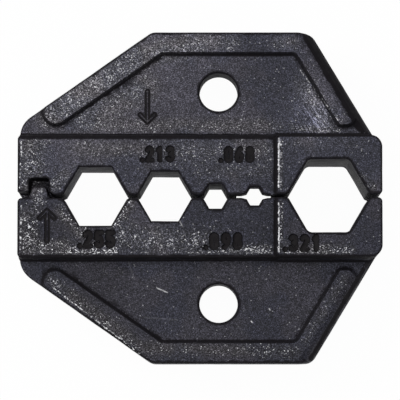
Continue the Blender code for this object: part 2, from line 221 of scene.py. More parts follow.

# Painted light and shade, with some patches of uneven tone: lighter and darker places as x, y, radius in
# mm, and change of tone
LIGHT_AND_TONES = (
    (-13.0, 12.5, 6.0, 0.60),
    (-4.0, 17.5, 5.0, 0.60),
    (1.5, 18.2, 2.8, 0.55),
    (6.6, 18.2, 1.9, -0.10),
    (10.0, 18.2, 1.8, 0.45),
    (-15.0, 5.0, 5.0, 0.30),
    (13.3, 9.3, 3.0, 0.65),
    (1.0, 4.8, 4.5, 0.20),
    (8.0, 13.5, 3.0, -0.05),
    (-7.0, 8.5, 2.5, 0.22),
    (0.0, 8.4, 3.0, 0.25),
    (6.0, 8.4, 3.0, 0.20),
    (13.2, 15.0, 2.5, 0.12),
    (12.7, 12.6, 1.8, 0.30),
    (14.6, 9.6, 1.8, 0.35),
    (-18.5, -3.5, 2.5, -0.18),
    (-12.0, -14.0, 3.0, -0.12),
    (12.8, -16.5, 1.5, 0.20),
    (15.2, -12.6, 2.0, 0.22),
    (17.2, -9.2, 1.5, 0.20),
    (-6.0, -4.5, 4.0, 0.45),
    (-10.8, -9.8, 3.2, -0.22),
    (-3.0, -14.6, 3.2, 0.16),
    (-18.7, 0.1, 1.0, 0.60),
    (-11.0, 12.5, 2.5, 0.15),
    (8.0, -4.0, 3.0, -0.10),
)

# Places worn to bright specks, the specks partly wear and partly painted sparkle: from x, y to x, y with a
# radius, all in mm, and strength
WEAR_AND_SPARKLE = (
    (-17.5, 9.5, -7.0, 16.6, 1.9, 0.68),
    (-7.0, 16.6, 0.0, 18.0, 1.6, 0.66),
    (0.0, 18.1, 4.0, 18.1, 1.1, 0.50),
    (8.9, 18.1, 11.0, 18.1, 1.0, 0.45),
    (-18.7, 0.6, -18.7, -0.8, 0.9, 0.75),
    (-13.5, 9.3, -6.5, 13.0, 2.2, 0.55),
    (7.0, 14.0, 12.0, 10.0, 2.5, 0.15),
    (-14.0, 8.5, 9.0, 8.4, 1.1, 0.50),
    (12.0, 13.0, 15.4, 8.6, 1.5, 0.50),
    (-19.3, 6.0, -19.8, 1.5, 1.5, 0.8),
    (-17.0, 1.2, -15.8, 2.4, 0.7, 0.9),
    (-14.0, 5.6, -6.0, 5.4, 1.2, 0.45),
    (-6.0, 5.0, 8.0, 5.4, 1.7, 0.48),
    (10.0, 6.0, 19.0, 6.0, 0.8, 0.28),
    (0.0, 3.0, 8.0, 3.0, 1.2, 0.40),
    (-19.8, -2.0, -19.8, -6.2, 1.1, 0.9),
    (-19.8, -5.9, -10.0, -6.1, 0.8, 1.1),
    (-16.0, -1.6, -13.6, -4.3, 0.9, 0.8),
    (-10.0, -3.4, -8.2, -0.8, 0.7, 1.0),
    (-9.0, -4.8, 1.0, -5.4, 1.6, 0.75),
    (1.5, -6.2, 8.0, -6.2, 0.6, 0.8),
    (9.35, 6.3, 9.3, 1.0, 0.30, 1.1),
    (9.3, -1.0, 9.3, -6.2, 0.32, 1.2),
    (10.0, -6.2, 17.5, -6.3, 0.6, 0.9),
    (-17.4, -9.6, -6.8, -17.6, 0.8, 0.62),
    (-6.8, -17.6, 11.0, -18.0, 0.9, 0.55),
    (12.4, -16.8, 16.9, -9.4, 0.7, 0.42),
    (18.6, 2.0, 19.9, 1.0, 0.7, 0.7),
    (12.0, 15.0, 16.5, 8.2, 0.8, 0.35),
    (10.8, 8.1, 16.2, 7.9, 0.35, 0.75),
)

# Painted highlights on edges that catch the light, partly edges worn bright, as x, y, x, y in mm, and
# strength
GLINTS = (
    (-20.75, 6.4, -20.95, 1.0, 1.4),
    (-20.75, -1.1, -20.85, -6.3, 1.3),
    (-20.5, -6.50, -9.6, -6.54, 1.05),
    (-9.6, -6.54, 1.0, -6.56, 0.8),
    (1.0, -6.56, 8.4, -6.58, 1.1),
    (9.18, 6.7, 9.15, 1.0, 2.2),
    (9.17, -0.9, 9.17, -6.6, 2.0),
    (9.2, -6.58, 17.0, -6.62, 1.0),
    (-17.63, 9.85, -17.40, 9.15, 1.3),
    (-17.40, 9.15, -16.75, 8.60, 1.1),
    (-17.2, -10.45, -7.0, -18.25, 1.35),
    (11.6, 15.2, 16.55, 8.5, 1.0),
    (-14.6, 0.8, -11.9, 4.3, 0.5),
    (-18.4, 1.0, -18.4, 3.2, 0.6),
    (-9.6, 0.7, -8.4, 3.0, 0.6),
    (19.4, 0.7, 16.7, 3.9, 0.5),
)
GLINT_REACH = 0.10 * MM
GLINT_LIFT = 0.15

# Scratches as x, y, x, y in mm, and brightness, dark ones below zero
SCRATCHES = (
    (-4.96, -10.60, -3.80, -11.10, 0.8),
    (6.00, -14.45, 6.12, -14.58, 1.0),
    (8.10, -13.00, 8.20, -13.14, 0.8),
    (-8.3, -7.6, -7.6, -9.6, 0.08),
    (-2.3, -2.9, -2.0, -3.5, 0.5),
    (-6.6, -14.0, -2.6, -14.3, 0.07),
)
SCRATCH_REACH = 0.05 * MM

# Brushed patch beside the right-hand rim, its streaks brightened as a painted sheen, as x, y and radius, in
# mm
BRUSHED_SHEEN = (13.6, 9.4, 2.6)
BRUSH_ANGLE = math.radians(-57.0)
BRUSH_LENGTH = 9.0
BRUSH = (0.15 * MM, 2.0, 0.6)
BRUSH_MIDDLE = 0.45
BRUSH_CONTRAST = 9.5

# Hairlines along two directions
HAIR_ANGLES = (math.radians(38.0), math.radians(-24.0))
HAIR_LENGTH = 4.0
HAIR_SIZE = 0.085 * MM
HAIR_COMMON = 0.970


def arc(centre_x, centre_y, radius_x, radius_y, start, end, steps=14):
    """Points along part of an ellipse, angles in degrees."""
    points = []
    for k in range(steps + 1):
        angle = math.radians(start + (end - start) * k / steps)
        points.append((centre_x + radius_x * math.cos(angle), centre_y + radius_y * math.sin(angle)))
    return points


def turned(strokes):
    """Strokes of a digit turned half round in its own box."""
    return [[(DIGIT_WIDTH - x, 1 - y) for x, y in stroke] for stroke in strokes]


def digit_strokes():
    """Centre lines of the digits in a box one unit high."""
    half = DIGIT_WIDTH / 2
    zero = arc(half, 0.76, half, 0.24, 0, 180) + arc(half, 0.24, half, 0.24, 180, 360) + [(2 * half, 0.76)]
    six = [arc(half, 0.28, half, 0.28, 0, 360, 24), arc(2 * half, 0.28, 2 * half, 0.72, 180, 100)]
    return {
        ".": [[(half, 0.0), (half, 0.02)]],
        "0": [zero],
        "1": [[(half - 0.16, 0.80), (half, 1.0), (half, 0.0)]],
        "2": [arc(half, 0.76, half, 0.24, 165, -25) + [(0.0, 0.0), (2 * half, 0.0)]],
        "3": [arc(half, 0.76, 0.19, 0.24, 155, -90), arc(half, 0.26, 0.21, 0.26, 90, -155)],
        "5": [[(2 * half, 1.0), (0.04, 1.0), (0.02, 0.56)] + arc(half - 0.01, 0.31, 0.21, 0.31, 125, -150)],
        "6": six,
        "8": [arc(half, 0.75, 0.17, 0.25, 0, 360, 24), arc(half, 0.25, half, 0.25, 0, 360, 24)],
        "9": turned(six),
    }


def number_strokes(text, middle_x, middle_y, height, pitch):
    """Centre lines of a number in mm, and half of its stroke width."""
    shapes = digit_strokes()
    half_stroke = STROKE_SHARE * height / 2
    size = height - 2 * half_stroke
    digits = len(text) - 1
    first = middle_x - (digits - 1) * pitch / 2 + FIRST_SHIFT * pitch
    lines = []
    for i, letter in enumerate(text):
        place = first + (i - 1) * pitch
        if letter == ".":
            place += POINT_SHIFT * pitch
        for stroke in shapes[letter]:
            lines.append([
                (place + (x - DIGIT_WIDTH / 2) * size, middle_y + (y - 0.5) * size) for x, y in stroke
            ])
    return lines, half_stroke


def line_distance(points, line):
    """Distance of each 2-D point to a polyline."""
    best = np.full(len(points), 1e9)
    line = np.asarray(line, dtype=float)
    for start, end in zip(line[:-1], line[1:]):
        along = end - start
        share = np.clip((points - start) @ along / max(along @ along, 1e-12), 0, 1)
        best = np.minimum(best, np.linalg.norm(points - start - share[:, None] * along, axis=1))
    return best


def segment_distance(points, segment):
    """Distance of each point, seen from the front, to a segment given as x, y, x, y in mm."""
    x0, y0, x1, y1 = segment
    return line_distance(points[:, :2], [(x0 * MM, y0 * MM), (x1 * MM, y1 * MM)])


def mark_depth(points, lines, half_stroke):
    """How far into a mark each 2-D point lies: below zero outside, half_stroke on its centre line."""
    reach = np.full(len(points), -1e9)
    box = np.concatenate([np.asarray(line) for line in lines])
    low = box.min(axis=0) - 3 * half_stroke
    high = box.max(axis=0) + 3 * half_stroke
    near = np.all((points > low) & (points < high), axis=1)
    if near.any():
        gap = np.full(int(near.sum()), 1e9)
        for line in lines:
            gap = np.minimum(gap, line_distance(points[near], line))
        reach[near] = half_stroke - gap
    return reach


def arrow_strokes(middle_x, middle_y, half_length, direction):
    """Shaft and barbs of an arrow along y."""
    tip = (middle_x, middle_y + direction * half_length)
    tail = (middle_x, middle_y - direction * half_length)
    back = tip[1] - direction * ARROW_BARB
    return [[tail, tip], [(tip[0] - ARROW_BARB, back), tip, (tip[0] + ARROW_BARB, back)]]


def in_metres(lines):
    """Lines in metres, of lines in mm."""
    return [[(x * MM, y * MM) for x, y in line] for line in lines]


def marks():
    """Every engraved mark: its centre lines, half a stroke width, half a ridge width and depth."""
    made = []
    for text, x, y, height, pitch in JAW_SIZES:
        lines, half_stroke = number_strokes(text, x, y, height, pitch)
        made.append((in_metres(lines), half_stroke * MM, 0.0, ENGRAVE_DEPTH))
    for arrow in ARROWS:
        lines = in_metres(arrow_strokes(*arrow))
        made.append((lines, ARROW_STROKE / 2 * MM, ARROW_RIDGE / 2 * MM, ARROW_DEPTH))
    return made


def deepest_mark(points, made):
    """The largest reach into any mark at each 2-D point, below zero outside."""
    best = np.full(len(points), -1e9)
    for lines, half_stroke, _, _ in made:
        best = np.maximum(best, mark_depth(points, lines, half_stroke))
    return best


def engraving(points, made):
    """Share of full blackness and depth in metres of the engraving at each 2-D point."""
    share = np.zeros(len(points))
    depth = np.zeros(len(points))
    for lines, half_stroke, half_ridge, full_depth in made:
        reach = mark_depth(points, lines, half_stroke)
        cut = smooth_step(reach / ENGRAVE_WALL + 0.5)
        if half_ridge:
            ridge = smooth_step((reach - half_stroke + half_ridge) / ENGRAVE_WALL + RIDGE_START)
            cut *= 1 - RIDGE_SHARE * ridge
        share = np.maximum(share, cut)
        depth = np.maximum(depth, cut * full_depth)
    return share, depth


def on_mark_plane(heights, tolerance):
    """Whether each height is that of a front face that carries marks."""
    return np.any(np.abs(np.asarray(heights)[..., None] - np.asarray(MARK_PLANES)) < tolerance, axis=-1)


def mesh_arrays(source):
    """Welded triangle arrays of a node's mesh."""
    mesh = source.data
    points = np.empty(len(mesh.vertices) * 3)
    mesh.vertices.foreach_get("co", points)
    points = points.reshape(-1, 3)
    mesh.calc_loop_triangles()
    faces = np.empty(len(mesh.loop_triangles) * 3, dtype=np.int64)
    mesh.loop_triangles.foreach_get("vertices", faces)
    faces = faces.reshape(-1, 3)
    keys = np.round(points / WELD).astype(np.int64)
    _, first, back = np.unique(keys, axis=0, return_index=True, return_inverse=True)
    faces = back.reshape(-1)[faces]
    whole = (faces[:, 0] != faces[:, 1]) & (faces[:, 1] != faces[:, 2]) & (faces[:, 2] != faces[:, 0])
    return points[first], faces[whole]


def face_normals(points, faces):
    """Unit normals of the triangles."""
    normal = np.cross(points[faces[:, 1]] - points[faces[:, 0]], points[faces[:, 2]] - points[faces[:, 0]])
    return normal / np.maximum(np.linalg.norm(normal, axis=1, keepdims=True), 1e-20)


def edges_of(faces):
    """Unique edges, and the edge index on each side of each triangle."""
    sides = np.concatenate([faces[:, [0, 1]], faces[:, [1, 2]], faces[:, [2, 0]]])
    edges, back = np.unique(np.sort(sides, axis=1), axis=0, return_inverse=True)
    return edges, back.reshape(3, -1).T


def feature_samples(points, faces):
    """Points along the sharp edges, outer ones and inner ones apart."""
    normals = face_normals(points, faces)
    edges, sides = edges_of(faces)
    owner = np.repeat(np.arange(len(faces)), 3)
    order = np.argsort(sides.reshape(-1), kind="stable")
    edge_ids = sides.reshape(-1)[order]
    owners = owner[order]
    pair = np.nonzero(edge_ids[:-1] == edge_ids[1:])[0]
    one, two, which = owners[pair], owners[pair + 1], edge_ids[pair]
    bend = np.arccos(np.clip(np.sum(normals[one] * normals[two], axis=1), -1, 1))
    middle = points[faces[two]].mean(axis=1)
    outer = np.sum((middle - points[edges[which][:, 0]]) * normals[one], axis=1) < 0
    along = points[edges[which][:, 1]] - points[edges[which][:, 0]]
    upright = np.abs(along[:, 2]) > UPRIGHT_EDGE * np.linalg.norm(along, axis=1)
    found = []
    for wanted in (outer, ~outer & ~upright):
        samples = []
        for start, end in edges[which[(bend > FEATURE_ANGLE) & wanted]]:
            a, b = points[start], points[end]
            count = max(1, int(np.linalg.norm(b - a) / SAMPLE_STEP))
            samples.append(a + (b - a) * (np.arange(count + 1) / count)[:, None])
        found.append(np.concatenate(samples))
    return found


def tree_of(samples):
    """Search tree over a cloud of points."""
    tree = KDTree(len(samples))
    for i, point in enumerate(samples):
        tree.insert(point, i)
    tree.balance()
    return tree


def reach_to(tree, points):
    """Distance of each point to the nearest one in the tree."""
    return np.fromiter((tree.find(point)[2] for point in points), dtype=float, count=len(points))


def flat_regions(points, faces):
    """Groups of joined coplanar triangles, and the edges that part them."""
    normals = face_normals(points, faces)
    edges, sides = edges_of(faces)
    users = [[] for _ in edges]
    for face, row in enumerate(sides):
        for edge in row:
            users[edge].append(face)
    label = np.full(len(faces), -1)
    groups = []
    limit = math.cos(FLAT_ANGLE)
    for first in range(len(faces)):
        if label[first] >= 0:
            continue
        label[first] = len(groups)
        group = [first]
        for face in group:
            for edge in sides[face]:
                for other in users[edge]:
                    if label[other] < 0 and normals[other] @ normals[first] > limit:
                        label[other] = label[first]
                        group.append(other)
        groups.append(group)
    borders = [edge for edge, pair in enumerate(users) if len({label[f] for f in pair}) > 1]
    return groups, edges, sides, set(borders)


def wanted_size(points, front, border_tree, mark_group):
    """Longest edge wanted at each point of a flat region."""
    off = np.clip(reach_to(border_tree, points) - EDGE_BAND, 0, None)
    if not front:
        return np.minimum(PLAIN_EDGE_SIZE + SIZE_GROWTH * off, COARSEST_SIZE)
    size = EDGE_SIZE + SIZE_GROWTH * off
    for *segment, _ in GLINTS + SCRATCHES:
        gap = segment_distance(points, segment)
        size = np.minimum(size, LINE_SIZE + SIZE_GROWTH * np.clip(gap - LINE_BAND, 0, None))
    for *segment, half in SHADE_BANDS:
        off = np.abs(segment_distance(points, segment) - half * MM) - LINE_BAND
        size = np.minimum(size, LINE_SIZE + SIZE_GROWTH * np.clip(off, 0, None))
    if mark_group is not None:
        off = np.clip(-deepest_mark(points[:, :2], mark_group) - ENGRAVE_WALL, 0, None)
        size = np.minimum(size, MARK_SIZE + SIZE_GROWTH * off)
    return np.minimum(size, COARSEST_SIZE)


def plane_of(points, faces, members):
    """Area, unit normal and the two axes of the plane of a flat region."""
    spread = np.cross(
        points[faces[members, 1]] - points[faces[members, 0]],
        points[faces[members, 2]] - points[faces[members, 0]],
    ).sum(axis=0)
    length = np.linalg.norm(spread)
    normal = spread / max(length, 1e-20)
    axis_u = np.cross(normal, [0.0, 1.0, 0.0] if abs(normal[1]) < 0.8 else [1.0, 0.0, 0.0])
    axis_u /= np.linalg.norm(axis_u)
    return length / 2, normal, (axis_u, np.cross(normal, axis_u))


def in_space(origin, axes, spots):
    """3-D points of 2-D spots in a region's plane."""
    return origin + spots[:, :1] * axes[0] + spots[:, 1:] * axes[1]


def region_points(origin, axes, outline, front, border_tree, mark_group):
    """Inner points of a flat region, closer where the size wanted is smaller."""
    low, high = outline.min(axis=0), outline.max(axis=0)
    step = COARSEST_SIZE
    counts = np.maximum(1, np.ceil((high - low) / step).astype(int))
    grid = np.stack(np.meshgrid(np.arange(counts[0]), np.arange(counts[1]), indexing="ij"), axis=-1)
    cells = low + (grid.reshape(-1, 2) + 0.5) * step
    kept = []
    while len(cells):
        size = wanted_size(in_space(origin, axes, cells), front, border_tree, mark_group)
        done = size >= step
        kept.append(cells[done])
        rest = cells[~done]
        step /= 2
        shifts = np.array([(-1, -1), (1, -1), (-1, 1), (1, 1)]) * step / 2
        cells = (rest[:, None, :] + shifts).reshape(-1, 2)
        if step < MARK_SIZE / 2:
            break
    return np.concatenate(kept)


def inside(spots, starts, ends):
    """Which 2-D spots lie inside the closed outlines made of the given segments."""
    odd = np.zeros(len(spots), dtype=bool)
    for (x0, y0), (x1, y1) in zip(starts, ends):
        if y0 != y1:
            spans = (spots[:, 1] > min(y0, y1)) & (spots[:, 1] <= max(y0, y1))
            crossing = x0 + (spots[:, 1] - y0) * (x1 - x0) / (y1 - y0)
            odd ^= spans & (spots[:, 0] < crossing)
    return odd


def joined(cells, walls):
    """A group number for each triangle, shared by those that meet across an edge that is no wall."""
    parent = list(range(len(cells)))

    def top(item):
        while parent[item] != item:
            parent[item] = parent[parent[item]]
            item = parent[item]
        return item

    first_user = {}
    for item, cell in enumerate(cells):
        for edge in (cell[:2], cell[1:], cell[::2]):
            key = (min(edge), max(edge))
            if key in walls:
                continue
            other = first_user.setdefault(key, item)
            parent[top(item)] = top(other)
    return np.array([top(item) for item in range(len(cells))])


def held_cells(flat, cells, walls, starts, ends):
    """Which triangles lie inside the outline: a group gets the answer of its largest triangle.

    A group of next to no area is a sliver between the outline and its hull, and is left out.
    """
    corners = flat[np.array(cells)]
    sides_a, sides_b = corners[:, 1] - corners[:, 0], corners[:, 2] - corners[:, 0]
    area = np.abs(sides_a[:, 0] * sides_b[:, 1] - sides_a[:, 1] * sides_b[:, 0])
    order = np.argsort(-area, kind="stable")
    group = joined(cells, walls)
    _, first, back = np.unique(group[order], return_index=True, return_inverse=True)
    back = back.reshape(-1)
    answers = inside(corners[order[first]].mean(axis=1), starts, ends)
    total = np.bincount(back, weights=area[order])
    answers &= total > SLIVER_SHARE * total.max()
    held = np.empty(len(cells), dtype=bool)
    held[order] = answers[back]
    return held


def divided_borders(points, edges, borders, front_edges):
    """Every border edge cut into short pieces that both of its regions share."""
    chains = {}
    extra = []
    count = len(points)
    for edge in sorted(borders):
        a, b = edges[edge]
        step = BORDER_STEP if edge in front_edges else PLAIN_BORDER_STEP
        pieces = max(1, math.ceil(np.linalg.norm(points[b] - points[a]) / step))
        shares = np.arange(1, pieces) / pieces
        extra.append(points[a] + (points[b] - points[a]) * shares[:, None])
        inner = list(range(count, count + pieces - 1))
        count += pieces - 1
        chains[edge] = [a] + inner + [b]
    return np.concatenate([points] + extra), chains


def outline_pairs(own, chains, place_of):
    """Short pieces and whole edges of a region's outline, as pairs of its corners' numbers."""
    pieces = []
    whole = []
    for edge in own:
        chain = [place_of[int(corner)] for corner in chains[edge]]
        pieces.extend(zip(chain[:-1], chain[1:]))
        whole.append((chain[0], chain[-1]))
    return pieces, whole


def inner_spots(origin, axes, outline, segments, rim, front, mark_group):
    """Spots inside a region's outline that keep clear of its border."""
    tree = tree_of(rim)
    spots = region_points(origin, axes, outline, front, tree, mark_group)
    clear = reach_to(tree, in_space(origin, axes, spots)) > BORDER_GAP * BORDER_STEP
    return spots[clear & inside(spots, *segments)]


def triangulated(outline, inner, pieces, segments):
    """Spots of a region's triangles, the given spots that each stands for, and the triangles."""
    given = [Vector(spot) for spot in np.concatenate([outline, inner]) / MM]
    found = delaunay_2d_cdt(given, pieces, [], 1, 1e-6, True)
    spots = np.array([(position.x * MM, position.y * MM) for position in found[0]])
    walls = {(min(edge), max(edge)) for edge, source in zip(found[1], found[4]) if source}
    held = held_cells(spots, found[2], walls, *segments)
    return spots, found[3], np.array(found[2])[held]


def fine_mesh(points, faces, made):
    """Even triangles of the wanted sizes on the flat regions of a mesh."""
    groups, edges, sides, borders = flat_regions(points, faces)
    normals = face_normals(points, faces)
    front_edges = set(sides[normals[:, 2] > FRONT_SLOPE].reshape(-1).tolist())
    corners, chains = divided_borders(points, edges, borders, front_edges)
    all_points = [corners]
    count = len(corners)
    triangles = []
    for group in groups:
        members = np.array(group)
        area, normal, axes = plane_of(points, faces, members)
        own = [edge for edge in np.unique(sides[members]) if edge in borders]
        loop_ids = np.unique(np.concatenate([chains[edge] for edge in own]))
        rim = corners[loop_ids]
        origin = rim[0]
        outline = np.stack([(rim - origin) @ axis for axis in axes], axis=1)
        pieces, whole = outline_pairs(own, chains, {int(v): i for i, v in enumerate(loop_ids)})
        segments = (outline[[a for a, _ in whole]], outline[[b for _, b in whole]])
        inner = np.zeros((0, 2))
        if area > SMALLEST_REGION:
            marked = normal[2] > REGION_FACING and on_mark_plane(origin[2], REGION_TOLERANCE)
            front = normal[2] > FRONT_SLOPE
            inner = inner_spots(origin, axes, outline, segments, rim, front, made if marked else None)
        spots, sources, cells = triangulated(outline, inner, pieces, segments)
        shared = [[v for v in source if v < len(loop_ids)] for source in sources]
        ids = np.array([loop_ids[corner[0]] if corner else -1 for corner in shared])
        fresh = np.nonzero(ids < 0)[0]
        ids[fresh] = count + np.arange(len(fresh))
        all_points.append(in_space(origin, axes, spots[fresh]))
        count += len(fresh)
        triangles.append(ids[cells])
    return np.concatenate(all_points), np.concatenate(triangles)


def lattice_noise(points, size, seed):
    """Smooth noise between -1 and 1, from a hashed lattice of the given cell size."""
    cell = points / size
    base = np.floor(cell).astype(np.int64)
    part = cell - base
    part = part * part * (3 - 2 * part)
    total = np.zeros(len(points))
    for corner in range(8):
        step = np.array([corner & 1, corner >> 1 & 1, corner >> 2 & 1])
        at = base + step
        mixed = np.bitwise_xor.reduce(at * np.array(CORNER_MIX), axis=1) ^ (seed * SEED_MIX)
        mixed = (mixed ^ (mixed >> 13)) * LAST_MIX
        value = ((mixed ^ (mixed >> 16)) & 0xFFFF) / 32767.5 - 1
        weight = np.prod(np.where(step == 1, part, 1 - part), axis=1)
        total += weight * value
    return total


def point_normals(points, faces):
    """Area-weighted unit normal at each point."""
    flat = np.cross(points[faces[:, 1]] - points[faces[:, 0]], points[faces[:, 2]] - points[faces[:, 0]])
    total = np.zeros_like(points)
    for k in range(3):
        np.add.at(total, faces[:, k], flat)
    return total / np.maximum(np.linalg.norm(total, axis=1, keepdims=True), 1e-20)


def smooth_step(value):
    """Soft ramp from 0 to 1."""
    value = np.clip(value, 0, 1)
    return value * value * (3 - 2 * value)


def blobs(points, table):
    """Sum of soft round patches, seen from the front, at each point."""
    total = np.zeros(len(points))
    for x, y, radius, strength in table:
        gap = np.linalg.norm(points[:, :2] - np.array([x, y]) * MM, axis=1)
        total += strength * np.exp(-(gap / (radius * MM)) ** 2)
    return total


def wear_and_sparkle_places(points):
    """How much each point is worn to bright specks, which are partly painted sparkle."""
    total = np.zeros(len(points))
    for *segment, radius, strength in WEAR_AND_SPARKLE:
        gap = segment_distance(points, segment)
        total = np.maximum(total, strength * np.exp(-(gap / (radius * MM)) ** 2))
    return total


def strokes(points, table, reach):
    """Strongest and weakest of the soft lines of a table at each point."""
    high = np.zeros(len(points))
    low = np.zeros(len(points))
    for *segment, strength in table:
        value = strength * np.exp(-(segment_distance(points, segment) / reach) ** 2)
        high = np.maximum(high, value)
        low = np.minimum(low, value)
    return high + low


def edge_shade(points, outer, inner, change):
    """Painted shade beside inner edges, as in creases where shade falls, and along outer edges."""
    right = points[:, 0] > RIGHT_RIM_FROM
    rim_share = np.where(right, RIGHT_RIM_ROOT_SHARE, RIM_ROOT_SHARE)
    root_reach = ROOT_REACH * np.where(np.abs(points[:, 1]) > RIM_FROM, rim_share, JAW_ROOT_SHARE)
    root_gap = reach_to(tree_of(inner), points)
    root = smooth_step((root_reach * change - root_gap) / SHADE_FADE + 0.5)
    edge_reach = EDGE_REACH * np.where(root_gap < STEP_HEIGHT, STEP_EDGE_SHARE, 1.0)
    edge = smooth_step((edge_reach * change - reach_to(tree_of(outer), points)) / SHADE_FADE + 0.5)
    return np.maximum(root, EDGE_SHADE * edge)


def band_shade(points, normals, change):
    """Painted shade of the listed bands, on all that faces the front."""
    band = np.zeros(len(points))
    for *segment, half in SHADE_BANDS:
        gap = segment_distance(points, segment)
        band = np.maximum(band, smooth_step((half * MM * (0.5 + change / 2) - gap) / SHADE_FADE + 0.5))
    band[normals[:, 2] < 0] = 0
    return band


def sloped_wall_shade(points, normals):
    """Painted shade on walls by their slope, less or more on the listed ones."""
    lean = np.abs(normals[:, 2])
    steep = WALL_SHADE * smooth_step((STEEP_FROM - lean) / STEEP_SPAN)
    steep[lean < UPRIGHT] *= UPRIGHT_SHARE
    for *segment, radius, share in OTHER_WALLS:
        steep[segment_distance(points, segment) < radius * MM] *= share
    return steep


def painted_shade_map(points, normals, outer, inner, seed):
    """Painted shade of roots, outer edges, bands and steep walls at each point."""
    change = 1 + REACH_CHANGE * lattice_noise(points, REACH_CHANGE_SIZE, seed)
    edges = edge_shade(points, outer, inner, change)
    lines = band_shade(points, normals, change)
    dark = np.clip(np.maximum.reduce([edges, lines, sloped_wall_shade(points, normals)]), 0, 1)
    x, y, radius = KEY_FOOT
    foot = np.linalg.norm(points[:, :2] - np.array([x, y]) * MM, axis=1) < radius * MM
    dark[foot & (np.abs(normals[:, 2]) > KEY_FOOT_FACING)] *= KEY_FOOT_SHARE
    return dark


def painted_maps(points, normals, outer, inner, engraved, seed):
    """What is painted on the skin at each point, by name."""
    return {
        # Painted shade in creases, along edges, in bands and on walls; painted light and shade over broad
        # places; wear with painted sparkle; painted glints on edges; scratches; a brushed patch with a
        # painted sheen
        "dark": painted_shade_map(points, normals, outer, inner, seed),
        "engraved": engraved,
        "tone": 1 + blobs(points, LIGHT_AND_TONES),
        "rubbed": wear_and_sparkle_places(points),
        "glint": strokes(points, GLINTS, GLINT_REACH),
        "scratch": strokes(points, SCRATCHES, SCRATCH_REACH),
        "brushed": blobs(points, (BRUSHED_SHEEN + (1.0,),)),
    }


def dressed_half(name, body, seed):
    """Fine copy of one half, with engraved sizes, an uneven skin and its painted maps."""
    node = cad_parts[body]
    points, faces = mesh_arrays(node)
    low, high = points.min(axis=0), points.max(axis=0)
    made = marks()
    outer, inner = feature_samples(points, faces)
    points, faces = fine_mesh(points, faces, made)
    normals = point_normals(points, faces)
    front = on_mark_plane(points[:, 2], POINT_TOLERANCE) & (normals[:, 2] > POINT_FACING)
    engraved = np.zeros(len(points))
    depth = np.zeros(len(points))
    engraved[front], depth[front] = engraving(points[front][:, :2], made)
    maps = painted_maps(points, normals, outer, inner, engraved, seed + 2)
    swell = SWELL_HEIGHT * lattice_noise(points, SWELL_SIZE, seed)
    ripple = RIPPLE_HEIGHT * lattice_noise(points, RIPPLE_SIZE, seed + 1)
    moved = points + normals * (swell + ripple)[:, None]
    moved[:, 2] -= depth
    moved = np.clip(moved, low, high)
    mesh = bpy.data.meshes.new(name)
    mesh.from_pydata(moved.tolist(), [], faces.tolist())
    for label, values in maps.items():
        layer = mesh.attributes.new(label, 'FLOAT', 'POINT')
        layer.data.foreach_set("value", values.astype(np.float32))
    mesh.shade_smooth()
    mesh.set_sharp_from_angle(angle=SHARP_ANGLE)
    made_object = bpy.data.objects.new(name, mesh)
    bpy.context.collection.objects.link(made_object)
    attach(made_object, body)
    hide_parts(body)
    return made_object


def new_material(name):
    """Empty node material, its nodes and its links."""
    material = bpy.data.materials.new(name)
    material.use_nodes = True
    nodes = material.node_tree.nodes
    nodes.clear()
    return material, nodes, material.node_tree.links


class Builder:
    """Short calls that add linked shader nodes."""

    def __init__(self, nodes, links):
        self.nodes = nodes
        self.links = links

    def put(self, socket, value):
        """Links a socket or sets a plain value."""
        if isinstance(value, bpy.types.NodeSocket):
            self.links.new(value, socket)
        else:
            socket.default_value = value

    def noise(self, vector, size, detail, roughness):
        """Noise whose features are about the given size in metres."""
        node = self.nodes.new("ShaderNodeTexNoise")
        self.put(node.inputs["Vector"], vector)
        node.inputs["Scale"].default_value = 1 / size
        node.inputs["Detail"].default_value = detail
        node.inputs["Roughness"].default_value = roughness
        return node.outputs["Fac"]

    def cells(self, vector, size):
        """A random number for each cell of about the given size in metres."""
        node = self.nodes.new("ShaderNodeTexVoronoi")
        self.put(node.inputs["Vector"], vector)
        node.inputs["Scale"].default_value = 1 / size
        split = self.nodes.new("ShaderNodeSeparateColor")
        self.links.new(node.outputs["Color"], split.inputs["Color"])
        return split.outputs["Red"]

    def drawn_out(self, vector, angle, times):
        """Coordinates that draw a texture out along a direction in the front plane."""
        node = self.nodes.new("ShaderNodeMapping")
        node.vector_type = 'TEXTURE'
        node.inputs["Rotation"].default_value = (0, 0, angle)
        node.inputs["Scale"].default_value = (times, 1.0, 1.0)
        self.put(node.inputs["Vector"], vector)
        return node.outputs["Vector"]

    def math(self, operation, a, b):
        """Math node."""
        node = self.nodes.new("ShaderNodeMath")
        node.operation = operation
        self.put(node.inputs[0], a)
        self.put(node.inputs[1], b)
        return node.outputs[0]

    def plus(self, a, b):
        """Sum."""
        return self.math('ADD', a, b)

    def times(self, a, b):
        """Product."""
        return self.math('MULTIPLY', a, b)

    def around(self, value, middle, contrast):
        """How far a value lies from a middle, times a contrast."""
        return self.times(self.math('SUBTRACT', value, middle), contrast)

    def band(self, value, low, high, to_low=0.0, to_high=1.0):
        """Smooth ramp of a value between two bounds."""
        node = self.nodes.new("ShaderNodeMapRange")
        node.interpolation_type = 'SMOOTHSTEP'
        for name, given in zip(("Value", "From Min", "From Max", "To Min", "To Max"),
                               (value, low, high, to_low, to_high)):
            self.put(node.inputs[name], given)
        return node.outputs["Result"]

    def mix(self, share, a, b):
        """Colour mix."""
        node = self.nodes.new("ShaderNodeMix")
        node.data_type = 'RGBA'
        self.put(node.inputs["Factor"], share)
        self.put(node.inputs["A"], a)
        self.put(node.inputs["B"], b)
        return node.outputs["Result"]

    def tinted(self, colour, tint):
        """Colour times a constant tint."""
        node = self.nodes.new("ShaderNodeVectorMath")
        node.operation = 'MULTIPLY'
        node.inputs[1].default_value = tint
        self.put(node.inputs[0], colour)
        return node.outputs["Vector"]

    def attribute(self, name):
        """Painted map of the mesh."""
        node = self.nodes.new("ShaderNodeAttribute")
        node.attribute_name = name
        return node.outputs["Fac"]


